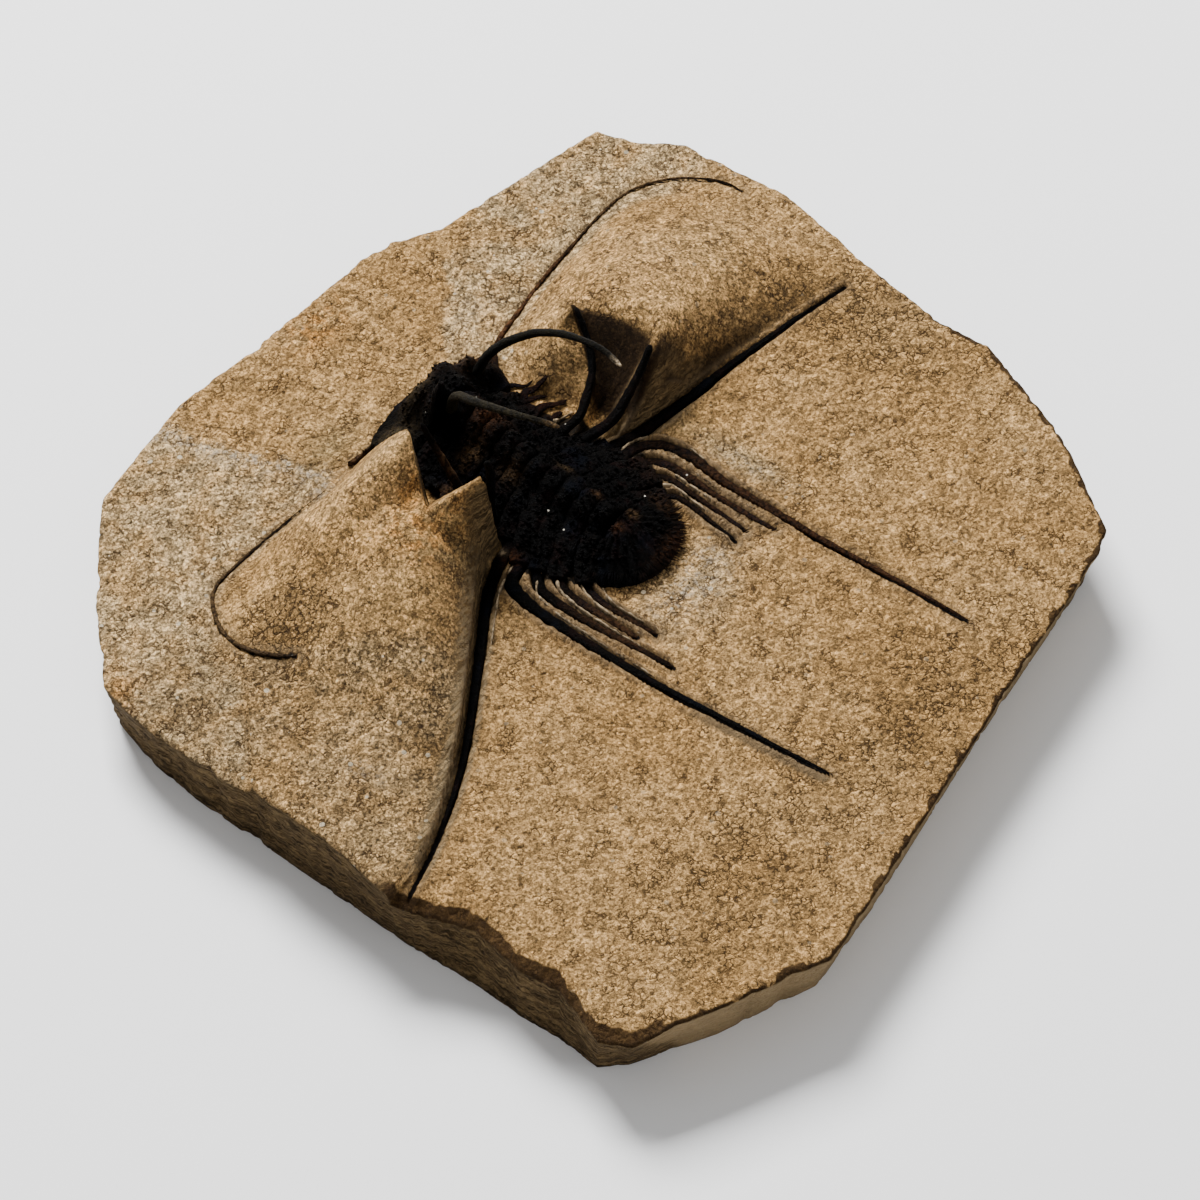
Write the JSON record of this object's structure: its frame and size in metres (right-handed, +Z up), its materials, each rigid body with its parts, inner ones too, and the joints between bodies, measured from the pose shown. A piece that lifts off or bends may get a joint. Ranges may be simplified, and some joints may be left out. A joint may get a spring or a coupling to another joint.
{
  "type": "fossil trilobite",
  "caption": "Spiny fossil trilobite prepared in relief on its block of limestone, with two horns arching back over the body and long free side spines.",
  "frame": {"origin": "centre of the bounding box, on the flat underside of the block", "axes": "+Z up from the underside, +Y towards the animal's head, +X towards its right side"},
  "size_m": [0.1476, 0.142, 0.0353],
  "materials": {
    "limestone": "matte",
    "fossil_shell": "satin"
  },
  "bodies": {
    "root": {"matrix": "limestone", "cephalon": "fossil_shell", "thorax_segment_01": "fossil_shell", "thorax_segment_02": "fossil_shell", "thorax_segment_03": "fossil_shell", "thorax_segment_04": "fossil_shell", "thorax_segment_05": "fossil_shell", "thorax_segment_06": "fossil_shell", "thorax_segment_07": "fossil_shell", "thorax_segment_08": "fossil_shell", "thorax_segment_09": "fossil_shell", "thorax_segment_10": "fossil_shell", "pygidium": "fossil_shell"}
  },
  "joints": []
}
